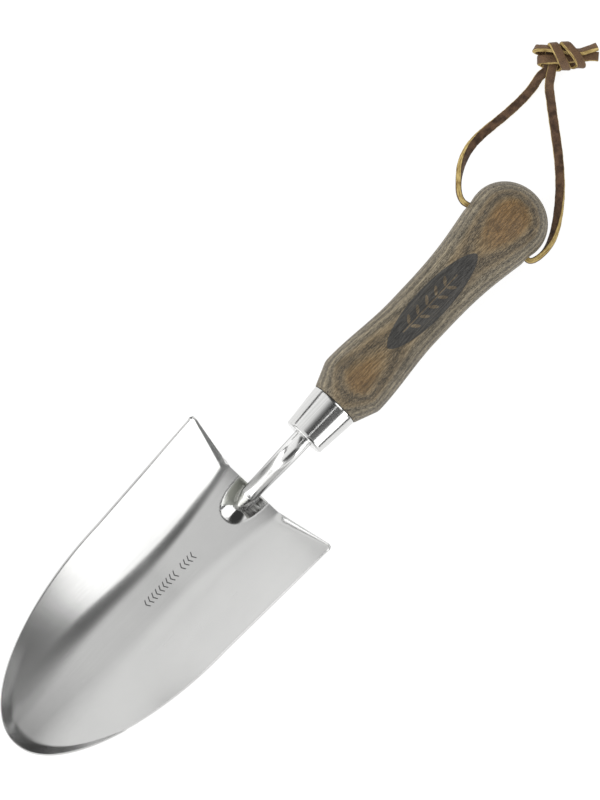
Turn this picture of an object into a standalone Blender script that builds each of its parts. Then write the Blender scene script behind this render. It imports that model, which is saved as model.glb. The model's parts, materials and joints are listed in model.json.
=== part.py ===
"""Hand trowel: a dished stainless steel blade, a swan neck welded into the blade's pocket, a tapered
ferrule, a turned ash handle, and a leather thong that is knotted through a cross hole in the handle.

Metres, +Z up. The trowel lies on the plane Z = 0 with its hollow up, the tip towards -X and the butt
towards +X. It rests on the flat underside of the blade's channel and on the swell of the butt. The
origin is the middle of the tool without its thong, on that plane.
"""

import math

import bmesh
import bpy
from mathutils import Vector

# ---- Driving dimensions -------------------------------------------------------------------------

TOOL_LENGTH = 0.345  # tip of the blade to the butt of the handle
TIP_X = -TOOL_LENGTH / 2
GAP = 0.0003  # between two pieces that touch

# Blade. Distances called "along" are measured from the tip towards the handle.
SHEET = 0.0012
NOSE_LENGTH = 0.0978  # the nose is half an ellipse
NOSE_HALF_WIDTH = 0.0405
REAR_HALF_WIDTH = 0.0431
REAR_AT_CHANNEL = 0.1593  # where the rear edge is, across the channel
REAR_AT_CORNER = 0.1653  # and at the two shoulders, which reach further back
CORNER_RADIUS = 0.0022
CHANNEL_AT_TIP = 0.0035
CHANNEL_FULL = 0.080  # where the channel reaches its plain width
CHANNEL_HALF_WIDTH = 0.0072
CHANNEL_FLARE = 0.0078  # how much wider each side of the channel gets at the rear
CHANNEL_FLARE_START = 0.090
RAMP_START, RAMP_END = 0.100, 0.158  # the channel's floor climbs here, to make room for the pocket
RAMP_RISE = 0.0042
NOSE_LIFT_START, NOSE_LIFT = 0.060, 0.0062  # the floor curves up to the tip
WALL_SLOPE_AT_TIP, WALL_SLOPE = 0.25, 0.64
WALL_SLOPE_FULL = 0.096  # where the walls reach their full slope
WALL_BEND_AT_TIP, WALL_BEND_AT_REAR = 0.015, 0.0055  # width of the bend between channel and wall
WALL_CURVE = 1.5
RIM_WIDTH, RIM_CURL, RIM_POWER = 0.0052, 0.0010, 1.20  # the rim of the nose turns up
RIM_END = 0.042
LIP_WIDTH, LIP_RISE = 0.0044, 0.0024  # the shoulders' rear edges turn up
LIP_TAPER, LIP_POWER = 0.25, 1.5  # the lips are a quarter as wide and high at the corners
LIP_ROLL, LIP_DROP = 0.76, 0.17  # the outer quarter of a lip rolls over again

# Pocket pressed into the channel's rear end, where the neck is welded.
POCKET_LENGTH = 0.0193
POCKET_HALF_WIDTH = 0.0090
POCKET_FLOOR = SHEET + 0.00015
POCKET_POWER = 2.5
POCKET_WALL_POWER = 1.0

# Handle, along its own axis from the shoulder against the ferrule.
HANDLE_TILT = math.radians(6.0)
HANDLE_LENGTH = 0.1328
SHOULDER_RADIUS = 0.01205
FRONT_CONE_END, FRONT_CONE_RADIUS = 0.0108, 0.01635
FRONT_SWELL, FRONT_SWELL_RADIUS = 0.0130, 0.0166
WAIST, WAIST_RADIUS = 0.0520, 0.0139
BUTT_SWELL, BUTT_SWELL_RADIUS = 0.1155, 0.0189
WAIST_POWER = 1.85  # the swell of the butt comes late along the handle
SPIGOT_LENGTH = 0.0185
TANG_BORE_RADIUS, TANG_BORE_DEPTH = 0.0035, 0.085
CROSS_HOLE, CROSS_HOLE_RADIUS = 0.1088, 0.0032

# Ferrule, a drawn steel cup with a hole in its end.
FERRULE_LENGTH = 0.0210
FERRULE_BACK_RADIUS, FERRULE_FRONT_RADIUS = 0.0119, 0.0101
FERRULE_WALL = 0.0010
FERRULE_EDGE = 0.0008

# Neck and tang, one bent rod.
FOOT_ALONG, FOOT_HEIGHT = 0.1490, 0.0059
FOOT_RADIUS, NECK_RADIUS = 0.0040, 0.0046
FOOT_DOME = 0.15  # share of the bend over which the foot's end is rounded
NECK_REACH = 0.0185  # length of the bends' control arms
TANG_RADIUS, TANG_END_RADIUS = 0.0031, 0.0020

# Weld bead round the foot of the neck.
WELD_RADIUS = 0.0009
WELD_HALF_WIDTH, WELD_FRONT_ALONG, WELD_BACK_ALONG = 0.0051, 0.1469, 0.1560
WELD_SIDE_HEIGHT, WELD_FRONT_HEIGHT = 0.0040, 0.0046

# Thong: a leather lace, 4.3 mm wide.
LACE_RADIUS = 0.00215
LACE_STEP = 0.0060

# Lace from the mouth of the cross hole to the knot, on each side: X, Y, Z.
LEFT_LEG = (
    (0.1482, 0.0190, 0.0199),
    (0.1493, 0.0226, 0.0193),
    (0.1533, 0.0275, 0.0172),
    (0.1588, 0.0317, 0.0140),
    (0.1644, 0.0345, 0.0105),
    (0.1715, 0.0358, 0.0066),
    (0.1792, 0.0356, 0.0038),
    (0.1891, 0.0344, 0.0023),
    (0.1981, 0.0337, 0.0022),
    (0.2065, 0.0336, 0.0022),
    (0.2129, 0.0345, 0.0025),
    (0.2175, 0.0357, 0.0030),
)
RIGHT_LEG = (
    (0.1484, -0.0186, 0.0199),
    (0.1501, -0.0212, 0.0195),
    (0.1526, -0.0229, 0.0185),
    (0.1567, -0.0232, 0.0163),
    (0.1617, -0.0222, 0.0133),
    (0.1690, -0.0190, 0.0088),
    (0.1765, -0.0142, 0.0052),
    (0.1836, -0.0084, 0.0032),
    (0.1920, 0.0003, 0.0023),
    (0.2000, 0.0107, 0.0022),
    (0.2060, 0.0190, 0.0027),
    (0.2124, 0.0266, 0.0042),
    (0.2182, 0.0313, 0.0058),
)

# Knot: distance along it from its shoulder, and its radius there.
KNOT_SHOULDER, KNOT_TAIL = (0.2193, 0.0451), (0.2405, 0.0226)
KNOT_HEIGHT = 0.0063
KNOT_SHAPE = (
    (0.0000, 0.0036),
    (0.0012, 0.0046),
    (0.0050, 0.0050),
    (0.0085, 0.0058),
    (0.0140, 0.0061),
    (0.0190, 0.0058),
    (0.0225, 0.0046),
    (0.0245, 0.0033),
    (0.0280, 0.0032),
    (0.0309, 0.0034),
)

BLADE_ROWS_REAR, BLADE_ROWS_NOSE, BLADE_COLUMNS = 20, 14, 36
TURNED_STEPS = 48
NECK_STEPS = 20

# ---- Scene and materials ------------------------------------------------------------------------


def clear_scene():
    for obj in list(bpy.data.objects):
        bpy.data.objects.remove(obj)


def new_collection(name):
    collection = bpy.data.collections.new(name)
    bpy.context.scene.collection.children.link(collection)
    return collection


def principled(name, colour, roughness, metallic):
    """A material with one plain finish."""
    material = bpy.data.materials.new(name)
    material.use_nodes = True
    shader = material.node_tree.nodes["Principled BSDF"]
    shader.inputs["Base Color"].default_value = (*colour, 1.0)
    shader.inputs["Roughness"].default_value = roughness
    shader.inputs["Metallic"].default_value = metallic
    return material


def add_object(name, data, material, collection, parent=None):
    obj = bpy.data.objects.new(name, data)
    if material:
        obj.data.materials.append(material)
    collection.objects.link(obj)
    obj.parent = parent
    return obj


def add_empty(name, location, rotation, collection):
    empty = bpy.data.objects.new(name, None)
    empty.location = location
    empty.rotation_euler = rotation
    empty.empty_display_size = 0.01
    collection.objects.link(empty)
    return empty


# ---- Small geometry helpers ---------------------------------------------------------------------


def smooth(t):
    """0 to 1 with level ends."""
    t = min(1.0, max(0.0, t))
    return t * t * (3 - 2 * t)


def mix(a, b, t):
    return a + (b - a) * t


def smooth_curve(points, step):
    """Points about step apart on the Catmull-Rom curve through these ones."""
    knots = [Vector(p) for p in points]
    knots = [2 * knots[0] - knots[1]] + knots + [2 * knots[-1] - knots[-2]]
    fine = []
    samples = 24
    for a, b, c, d in zip(knots, knots[1:], knots[2:], knots[3:]):
        for i in range(samples):
            t = i / samples
            fine.append(
                0.5
                * (
                    2 * b
                    + (c - a) * t
                    + (2 * a - 5 * b + 4 * c - d) * t**2
                    + (3 * b - a - 3 * c + d) * t**3
                )
            )
    fine.append(knots[-2])
    length = sum((q - p).length for p, q in zip(fine, fine[1:]))
    count = max(2, round(length / step))
    kept, walked, target = [fine[0]], 0.0, length / count
    for p, q in zip(fine, fine[1:]):
        walked += (q - p).length
        if walked >= target * len(kept) and len(kept) < count:
            kept.append(q)
    return kept + [fine[-1]]


def add_tube(name, points, radii, sides, material, collection, parent=None):
    """A round bar along points, with its radius at each of them."""
    curve = bpy.data.curves.new(name, "CURVE")
    curve.dimensions = "3D"
    curve.bevel_depth = 1.0
    curve.bevel_resolution = sides // 2 - 2
    curve.use_fill_caps = True
    spline = curve.splines.new("POLY")
    spline.points.add(len(points) - 1)
    for point, place, radius in zip(spline.points, points, radii):
        point.co = (*place, 1.0)
        point.radius = radius
    return add_object(name, curve, material, collection, parent)


def add_turned(name, profile, closed, material, collection, parent=None):
    """A profile of (radius, height) points, turned about Z. Its outer side runs from high to low."""
    mesh = bpy.data.meshes.new(name)
    shape = bmesh.new()
    points = [shape.verts.new((r, 0.0, z)) for r, z in profile]
    pairs = list(zip(points, points[1:]))
    if closed:
        pairs.append((points[-1], points[0]))
    for a, b in pairs:
        shape.edges.new((a, b))
    shape.to_mesh(mesh)
    shape.free()
    obj = add_object(name, mesh, material, collection, parent)
    turn = obj.modifiers.new("Turn", "SCREW")
    turn.axis = "Z"
    turn.steps = TURNED_STEPS
    turn.render_steps = TURNED_STEPS
    turn.use_merge_vertices = True
    turn.merge_threshold = 1e-6
    turn.use_smooth_shade = True
    return obj


# ---- Blade --------------------------------------------------------------------------------------


def blade_half_width(along):
    if along < NOSE_LENGTH:
        return NOSE_HALF_WIDTH * math.sqrt(max(0.0, 1 - (1 - along / NOSE_LENGTH) ** 2))
    share = (along - NOSE_LENGTH) / (REAR_AT_CORNER - NOSE_LENGTH)
    return mix(NOSE_HALF_WIDTH, REAR_HALF_WIDTH, share)


def channel_half_width(along):
    share = (along - CHANNEL_FLARE_START) / (REAR_AT_CHANNEL - CHANNEL_FLARE_START)
    front = mix(CHANNEL_AT_TIP, CHANNEL_HALF_WIDTH, smooth(along / CHANNEL_FULL))
    return front + CHANNEL_FLARE * max(0.0, share) ** 2


def shoulder_share(across):
    """0 beside the channel's rear end, 1 at a shoulder's corner."""
    inner = CHANNEL_HALF_WIDTH + CHANNEL_FLARE
    return min(1.0, max(0.0, (across - inner) / (REAR_HALF_WIDTH - inner)))


def rear_edge(across):
    """How far along the rear edge is, this far from the middle, with the corners rounded off."""
    edge = mix(REAR_AT_CHANNEL, REAR_AT_CORNER, shoulder_share(across))
    into = (across - REAR_HALF_WIDTH + CORNER_RADIUS) / CORNER_RADIUS
    if into > 0:
        edge -= CORNER_RADIUS * (1 - math.sqrt(max(0.0, 1 - min(1.0, into) ** 2)))
    return edge


def blade_floor(along):
    """Height of the channel's upper surface."""
    ramp = RAMP_RISE * smooth((along - RAMP_START) / (RAMP_END - RAMP_START))
    lift = NOSE_LIFT * max(0.0, 1 - along / NOSE_LIFT_START) ** 2
    return SHEET + ramp + lift


def wall_rise(along, across):
    """How far a wall stands above the channel's floor."""
    out = across - channel_half_width(along)
    if out <= 0:
        return 0.0
    bend = mix(WALL_BEND_AT_TIP, WALL_BEND_AT_REAR, smooth(along / REAR_AT_CHANNEL))
    run = out * out / (2 * bend) if out < bend else out - bend / 2
    slope = mix(WALL_SLOPE_AT_TIP, WALL_SLOPE, smooth(along / WALL_SLOPE_FULL))
    return slope * run + WALL_CURVE * out * out


def rim_rise(along, across):
    """The turned-up rim of the nose, which fades out along the sides."""
    if along >= RIM_END:
        return 0.0
    front, side = 1 - along / NOSE_LENGTH, across / NOSE_HALF_WIDTH
    out = math.hypot(front, side)
    inwards = (1 - out) * out / math.hypot(front / NOSE_LENGTH, side / NOSE_HALF_WIDTH)
    share = max(0.0, 1 - inwards / RIM_WIDTH)
    return RIM_CURL * share**RIM_POWER * smooth((RIM_END - along) / (RIM_END / 2))


def lip_rise(along, across):
    """The turned-up rear edge of a shoulder, widest beside the channel."""
    share = shoulder_share(across)
    if share <= 0:
        return 0.0
    taper = mix(1.0, LIP_TAPER, share)
    into = max(0.0, 1 - (rear_edge(across) - along) / (LIP_WIDTH * taper))
    shape = into**LIP_POWER - LIP_DROP * (max(0.0, into - LIP_ROLL) / (1 - LIP_ROLL)) ** 2
    return LIP_RISE * taper * smooth(share / 0.22) * shape


def pocket_share(along, across):
    """0 outside the pocket, 1 at its deepest."""
    forward = max(0.0, (REAR_AT_CHANNEL - along) / POCKET_LENGTH)
    spread = forward**POCKET_POWER + (across / POCKET_HALF_WIDTH) ** POCKET_POWER
    return max(0.0, 1 - spread) ** POCKET_WALL_POWER


def blade_height(along, across):
    across = abs(across)
    height = blade_floor(along) + wall_rise(along, across)
    height += rim_rise(along, across) + lip_rise(along, across)
    return mix(height, POCKET_FLOOR, pocket_share(along, across))


def blade_plan(back, side):
    """Where a point of the square grid lies in plan. back is 0 at the rear and 2 at the tip's arc."""
    side = math.copysign(abs(side) ** 1.25, side)
    if back <= 1:
        edge = rear_edge(abs(side) * REAR_HALF_WIDTH)
        along = mix(edge, NOSE_LENGTH, back**1.5)
        return along, side * blade_half_width(along)
    front = back - 1
    along = NOSE_LENGTH * (1 - front * math.sqrt(1 - side**2 / 2))
    return along, side * NOSE_HALF_WIDTH * math.sqrt(1 - front**2 / 2)


def make_blade(material, collection):
    """A flat grid, moved to the blade's outline and height, and given the sheet's thickness."""
    mesh = bpy.data.meshes.new("blade")
    shape = bmesh.new()
    rows = BLADE_ROWS_REAR + BLADE_ROWS_NOSE
    bmesh.ops.create_grid(shape, x_segments=rows, y_segments=BLADE_COLUMNS, size=1.0)
    for vert in shape.verts:
        row = round((1 - vert.co.x) / 2 * rows)
        if row <= BLADE_ROWS_REAR:
            back = row / BLADE_ROWS_REAR
        else:
            back = 1 + (row - BLADE_ROWS_REAR) / BLADE_ROWS_NOSE
        along, across = blade_plan(back, vert.co.y)
        vert.co = (TIP_X + along, across, blade_height(along, across))
    for face in shape.faces:
        face.smooth = True
    shape.to_mesh(mesh)
    shape.free()
    blade = add_object("blade", mesh, material, collection)
    sheet = blade.modifiers.new("Sheet", "SOLIDIFY")
    sheet.thickness = SHEET
    sheet.offset = -1.0
    sheet.use_even_offset = True
    return blade


# ---- Handle, ferrule, neck and weld -------------------------------------------------------------


def handle_radius(z):
    if z < FRONT_CONE_END:
        return mix(SHOULDER_RADIUS, FRONT_CONE_RADIUS, z / FRONT_CONE_END)
    if z < FRONT_SWELL:
        share = (z - FRONT_CONE_END) / (FRONT_SWELL - FRONT_CONE_END)
        rise = math.sin(share * math.pi / 2)
        return mix(FRONT_CONE_RADIUS, FRONT_SWELL_RADIUS, rise)
    if z < WAIST:
        share = (z - FRONT_SWELL) / (WAIST - FRONT_SWELL)
        return mix(FRONT_SWELL_RADIUS, WAIST_RADIUS, smooth(share))
    if z < BUTT_SWELL:
        share = (z - WAIST) / (BUTT_SWELL - WAIST)
        return mix(WAIST_RADIUS, BUTT_SWELL_RADIUS, smooth(share**WAIST_POWER))
    share = (z - BUTT_SWELL) / (HANDLE_LENGTH - BUTT_SWELL)
    return BUTT_SWELL_RADIUS * math.sqrt(max(0.0, 1 - share**2))


def ferrule_radius(z):
    """The ferrule's outer radius. It runs from -FERRULE_LENGTH to 0 on the handle's axis."""
    return mix(FERRULE_BACK_RADIUS, FERRULE_FRONT_RADIUS, -z / FERRULE_LENGTH)


def handle_profile():
    """From the butt, down the outside, round the spigot and up the tang's bore."""
    butt_angles = [math.pi / 2 * i / 9 for i in range(10)]
    end_length = HANDLE_LENGTH - BUTT_SWELL
    profile = [
        (BUTT_SWELL_RADIUS * math.sin(a), BUTT_SWELL + end_length * math.cos(a))
        for a in butt_angles
    ]
    profile[0] = (0.0, HANDLE_LENGTH)
    body_steps = 18
    for i in range(1, body_steps + 1):
        z = mix(BUTT_SWELL, FRONT_SWELL, i / body_steps)
        profile.append((handle_radius(z), z))
    profile.append((handle_radius(0.0118), 0.0118))
    profile.append((FRONT_CONE_RADIUS, FRONT_CONE_END))
    profile.append((SHOULDER_RADIUS, 0.0))
    inner = FERRULE_WALL + GAP
    profile.append((ferrule_radius(0.0) - inner, 0.0))
    profile.append((ferrule_radius(-SPIGOT_LENGTH) - inner, -SPIGOT_LENGTH))
    profile.append((TANG_BORE_RADIUS, -SPIGOT_LENGTH))
    profile.append((TANG_BORE_RADIUS, TANG_BORE_DEPTH))
    profile.append((0.0, TANG_BORE_DEPTH + TANG_BORE_RADIUS / 2))
    return profile


def make_handle(material, collection, cutters, axis):
    handle = add_turned("handle", handle_profile(), False, material, collection, axis)
    mesh = bpy.data.meshes.new("cross_hole")
    shape = bmesh.new()
    bmesh.ops.create_cone(
        shape,
        cap_ends=True,
        segments=24,
        radius1=CROSS_HOLE_RADIUS,
        radius2=CROSS_HOLE_RADIUS,
        depth=3 * BUTT_SWELL_RADIUS,
    )
    shape.to_mesh(mesh)
    shape.free()
    cutter = add_object("cross_hole_cutter", mesh, None, cutters, axis)
    cutter.location = (0.0, 0.0, CROSS_HOLE)
    cutter.rotation_euler = (math.pi / 2, 0.0, 0.0)
    cutter.hide_render = True
    cutter.display_type = "WIRE"
    hole = handle.modifiers.new("Cross hole", "BOOLEAN")
    hole.operation = "DIFFERENCE"
    hole.object = cutter
    return handle


def make_ferrule(material, collection, axis):
    """A cup: its open end is against the handle's shoulder, and the neck goes through its floor."""
    back, front = -GAP, -FERRULE_LENGTH
    hole = NECK_RADIUS + GAP
    outer_front = ferrule_radius(front)
    profile = [
        (ferrule_radius(back) - FERRULE_WALL, back),
        (ferrule_radius(back), back),
        (ferrule_radius(front + FERRULE_EDGE), front + FERRULE_EDGE),
        (outer_front - 0.3 * FERRULE_EDGE, front + 0.3 * FERRULE_EDGE),
        (outer_front - FERRULE_EDGE, front),
        (hole, front),
        (hole, front + FERRULE_WALL),
        (ferrule_radius(front + FERRULE_WALL) - FERRULE_WALL, front + FERRULE_WALL),
    ]
    return add_turned("ferrule", profile, True, material, collection, axis)


def handle_axis_frame():
    """Where the shoulder's centre is, and the direction from there to the butt."""
    direction = Vector((math.cos(HANDLE_TILT), 0.0, -math.sin(HANDLE_TILT)))
    shoulder = Vector((TOOL_LENGTH / 2 - HANDLE_LENGTH * direction.x, 0.0, 0.0))
    shoulder.z = BUTT_SWELL_RADIUS + 0.0001 - BUTT_SWELL * direction.z
    return shoulder, direction


def neck_line(shoulder, direction):
    """The rod's centre line and radii, from its foot in the pocket to the end of its tang."""
    foot = Vector((TIP_X + FOOT_ALONG, 0.0, FOOT_HEIGHT))
    entry = shoulder - direction * (FERRULE_LENGTH + 0.001)
    first_arm = foot + Vector((NECK_REACH, 0.0, 0.0004))
    last_arm = entry - direction * NECK_REACH
    shares = [0.0, 0.010, 0.025] + [i / NECK_STEPS for i in range(1, NECK_STEPS + 1)]
    points, radii = [], []
    for t in shares:
        points.append(
            foot * (1 - t) ** 3
            + first_arm * 3 * t * (1 - t) ** 2
            + last_arm * 3 * t**2 * (1 - t)
            + entry * t**3
        )
        dome = math.sqrt(min(1.0, 0.10 + t / FOOT_DOME))
        radii.append(mix(FOOT_RADIUS, NECK_RADIUS, smooth(t)) * dome)
    tang = (
        (-FERRULE_LENGTH + 0.0015, NECK_RADIUS),
        (-FERRULE_LENGTH + 0.0019, TANG_RADIUS),
        (TANG_BORE_DEPTH - 0.008, TANG_RADIUS),
        (TANG_BORE_DEPTH - 0.001, TANG_END_RADIUS),
    )
    for z, radius in tang:
        points.append(shoulder + direction * z)
        radii.append(radius)
    return points, radii


def make_neck(material, collection, shoulder, direction):
    points, radii = neck_line(shoulder, direction)
    return add_tube("neck_and_tang", points, radii, 16, material, collection)


def make_weld(material, collection):
    """A bead round the foot of the neck, down in the pocket, open towards the handle."""
    length = WELD_BACK_ALONG - WELD_FRONT_ALONG
    points = []
    steps = 20
    for i in range(steps + 1):
        angle = math.pi * i / steps - math.pi / 2
        forward = max(0.0, math.cos(angle)) ** 0.6
        side = math.copysign(abs(math.sin(angle)) ** 0.75, angle)
        points.append(
            Vector(
                (
                    TIP_X + WELD_BACK_ALONG - length * forward,
                    WELD_HALF_WIDTH * side,
                    mix(WELD_SIDE_HEIGHT, WELD_FRONT_HEIGHT, forward),
                )
            )
        )
    radii = [WELD_RADIUS] * len(points)
    return add_tube("weld_bead", points, radii, 8, material, collection)


# ---- Thong --------------------------------------------------------------------------------------


def make_thong(material, collection, pivot):
    """The lace, from the knot through the cross hole and back to the knot, as one plain bar."""
    through = [
        Vector((pivot.location.x, y, pivot.location.z)) for y in (0.014, 0.0, -0.014)
    ]
    route = [*reversed(LEFT_LEG), *through, *RIGHT_LEG]
    points = [p - pivot.location for p in smooth_curve(route, LACE_STEP)]
    radii = [LACE_RADIUS] * len(points)
    return add_tube("thong", points, radii, 8, material, collection, pivot)


def make_knot(material, collection, pivot):
    """The knot's outer shape and its two tails, as one plain turned solid."""
    shoulder, tail = Vector((*KNOT_SHOULDER, 0.0)), Vector((*KNOT_TAIL, 0.0))
    length = KNOT_SHAPE[-1][0]
    profile = [(0.0, length)]
    profile += [(radius, along) for along, radius in reversed(KNOT_SHAPE)]
    profile.append((0.0, 0.0))
    knot = add_turned("thong_knot", profile, False, material, collection, pivot)
    run = tail - shoulder
    knot.location = Vector((*KNOT_SHOULDER, KNOT_HEIGHT)) - pivot.location
    knot.rotation_euler = (0.0, math.pi / 2, math.atan2(run.y, run.x))
    knot.modifiers["Turn"].steps = 20
    knot.modifiers["Turn"].render_steps = 20
    return knot


# ---- Assembly -----------------------------------------------------------------------------------


def main():
    clear_scene()
    parts = new_collection("hand_trowel")
    cutters = new_collection("cutters")
    satin_steel = principled("satin_stainless", (0.62, 0.62, 0.61), 0.28, 1.0)
    polished_steel = principled("polished_stainless", (0.70, 0.70, 0.69), 0.10, 1.0)
    ash = principled("smoked_ash", (0.17, 0.125, 0.08), 0.42, 0.0)
    leather = principled("brown_leather", (0.085, 0.045, 0.028), 0.62, 0.0)

    shoulder, direction = handle_axis_frame()
    turn = (0.0, math.pi / 2 + HANDLE_TILT, 0.0)
    axis = add_empty("handle_axis", shoulder, turn, parts)
    hole = shoulder + direction * CROSS_HOLE
    pivot = add_empty("thong_pivot", hole, (0.0, 0.0, 0.0), parts)

    make_blade(satin_steel, parts)
    make_neck(polished_steel, parts, shoulder, direction)
    make_weld(polished_steel, parts)
    make_ferrule(polished_steel, parts, axis)
    make_handle(ash, parts, cutters, axis)
    make_thong(leather, parts, pivot)
    make_knot(leather, parts, pivot)


main()
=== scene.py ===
"""Looks of the hand trowel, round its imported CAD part.

Metres, in the CAD's frame: the tip towards -X, the butt towards +X, the blade's hollow up (+Z).
"""

import json
import math

import bpy
import numpy as np
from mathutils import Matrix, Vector


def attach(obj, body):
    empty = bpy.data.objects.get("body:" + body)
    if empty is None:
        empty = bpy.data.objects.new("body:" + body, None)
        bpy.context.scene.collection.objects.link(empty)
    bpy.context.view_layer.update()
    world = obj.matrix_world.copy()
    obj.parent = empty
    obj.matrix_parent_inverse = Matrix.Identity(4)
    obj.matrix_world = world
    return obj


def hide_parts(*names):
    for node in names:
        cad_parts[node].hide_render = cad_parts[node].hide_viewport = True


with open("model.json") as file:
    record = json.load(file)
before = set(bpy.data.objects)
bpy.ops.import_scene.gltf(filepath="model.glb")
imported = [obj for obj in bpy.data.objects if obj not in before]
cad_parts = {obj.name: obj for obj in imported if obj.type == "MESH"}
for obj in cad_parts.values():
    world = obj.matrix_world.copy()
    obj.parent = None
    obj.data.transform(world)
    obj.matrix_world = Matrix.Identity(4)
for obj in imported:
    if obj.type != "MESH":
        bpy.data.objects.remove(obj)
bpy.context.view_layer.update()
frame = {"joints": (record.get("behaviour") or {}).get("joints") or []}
SCENE = bpy.context.scene

# ---- Dimensions: the CAD's, but for the rim, the walls' full slope, the weld and the lace ---------

TOOL_LENGTH = 0.345
TIP_X = -TOOL_LENGTH / 2
SHEET = 0.0012
NOSE_LENGTH = 0.0978  # the nose is half an ellipse
NOSE_HALF_WIDTH = 0.0405
REAR_HALF_WIDTH = 0.0431
REAR_AT_CHANNEL = 0.1593  # where the rear edge is, across the channel
REAR_AT_CORNER = 0.1653  # and at the two shoulders, which reach further back
CORNER_RADIUS = 0.0022
CHANNEL_AT_TIP = 0.0035
CHANNEL_FULL = 0.080  # where the channel reaches its plain width
CHANNEL_HALF_WIDTH = 0.0072
CHANNEL_FLARE = 0.0078  # how much wider each side of the channel gets at the rear
CHANNEL_FLARE_START = 0.090
RAMP_START, RAMP_END = 0.100, 0.158
RAMP_RISE = 0.0042
NOSE_LIFT_START, NOSE_LIFT = 0.060, 0.0062
WALL_SLOPE_AT_TIP, WALL_SLOPE, WALL_SLOPE_FULL = 0.25, 0.64, 0.090
WALL_BEND_AT_TIP, WALL_BEND_AT_REAR = 0.015, 0.0055
WALL_CURVE = 1.5
RIM_WIDTH, RIM_CURL, RIM_POWER, RIM_END = 0.0052, 0.0009, 1.20, 0.042
CREASE_WIDTH, CREASE_SLOPE, CREASE_END = 0.0046, 0.46, 0.040  # on the -Y side of the tip
LIP_WIDTH, LIP_RISE, LIP_TAPER, LIP_POWER = 0.0044, 0.0024, 0.25, 1.5
LIP_ROLL, LIP_DROP = 0.76, 0.17
EDGE_ROUND = 0.00035
POCKET_LENGTH = 0.0193
POCKET_HALF_WIDTH = 0.0090
POCKET_FLOOR = SHEET + 0.00015
POCKET_POWER = 2.5
POCKET_WALL_POWER = 1.0

HANDLE_TILT = math.radians(6.0)
HANDLE_LENGTH = 0.1328
SHOULDER_RADIUS = 0.01205
FRONT_CONE_END, FRONT_CONE_RADIUS = 0.0108, 0.01635
FRONT_SWELL, FRONT_SWELL_RADIUS = 0.0130, 0.0166
WAIST, WAIST_RADIUS = 0.0520, 0.0139
BUTT_SWELL, BUTT_SWELL_RADIUS = 0.1155, 0.0189
WAIST_POWER = 1.85  # the swell of the butt comes late along the handle
BUTT_CLEARANCE = 0.0001
SPIGOT_LENGTH = 0.0185
TANG_BORE_RADIUS, TANG_BORE_DEPTH = 0.0035, 0.085
CROSS_HOLE, CROSS_HOLE_RADIUS = 0.1088, 0.0032
HOLE_RIM = 0.0007

FERRULE_LENGTH = 0.0210
FERRULE_BACK_RADIUS, FERRULE_FRONT_RADIUS = 0.0119, 0.0101
FERRULE_WALL = 0.0010
FERRULE_EDGE = 0.0008

FOOT_ALONG, FOOT_HEIGHT = 0.1490, 0.0059
FOOT_RADIUS, NECK_RADIUS = 0.0040, 0.0046
FOOT_DOME, FOOT_BLUNTNESS = 0.15, 0.02
FOOT_ARM_RISE = 0.0004
NECK_REACH = 0.0185
TANG_RADIUS, TANG_END_RADIUS = 0.0031, 0.0020
WELD_START, WELD_END, WELD_HALF_WIDTH = 0.1425, 0.1586, 0.0078
WELD_ROD_END = 0.1625
WELD_REACH = 0.0030
WELD_FILLET = 0.25
WELD_THICKNESS, WELD_SUNK = 0.0004, 0.00003
WELD_EDGE = 0.0012  # how wide the band is in which the skin sinks out of sight
GAP = 0.0003

# Lace from the mouth of the cross hole to the knot, on each side.
LEFT_LEG = (
    (0.1478, 0.0190, 0.0199),
    (0.1476, 0.0210, 0.0197),
    (0.1484, 0.0235, 0.0192),
    (0.1504, 0.0263, 0.0183),
    (0.1542, 0.0297, 0.0166),
    (0.1586, 0.0326, 0.0140),
    (0.1637, 0.0347, 0.0108),
    (0.1693, 0.0359, 0.0076),
    (0.1756, 0.0360, 0.0048),
    (0.1824, 0.0353, 0.0030),
    (0.1891, 0.0344, 0.0023),
    (0.1956, 0.0338, 0.0022),
    (0.2019, 0.0335, 0.0022),
    (0.2084, 0.0338, 0.0023),
    (0.2140, 0.0348, 0.0026),
)
RIGHT_LEG = (
    (0.1485, -0.0187, 0.0199),
    (0.1494, -0.0202, 0.0197),
    (0.1512, -0.0211, 0.0192),
    (0.1541, -0.0217, 0.0182),
    (0.1580, -0.0217, 0.0166),
    (0.1630, -0.0205, 0.0140),
    (0.1691, -0.0176, 0.0107),
    (0.1761, -0.0130, 0.0073),
    (0.1826, -0.0078, 0.0046),
    (0.1885, -0.0021, 0.0031),
    (0.1941, 0.0041, 0.0024),
    (0.2000, 0.0114, 0.0023),
    (0.2052, 0.0180, 0.0025),
    (0.2098, 0.0237, 0.0032),
    (0.2140, 0.0287, 0.0044),
)
INSIDE_HOLE = (0.0, 0.009, 0.0155)
LACE_WIDTH, LACE_THICKNESS = 0.0043, 0.0027
KNOT_THICKNESS = 0.0020
TAIL_THICKNESS = [0.0021, 0.0023, 0.0024]

# The camera looks straight down, turned so that the tool lies across the picture.
VIEW_CENTRE = (0.0310, 0.0128)
VIEW_TURN = math.radians(46.6)
VIEW_HEIGHT = 0.3641
CAMERA_DISTANCE = 2.4
CAMERA_FOCUS_Z = 0.02

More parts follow.
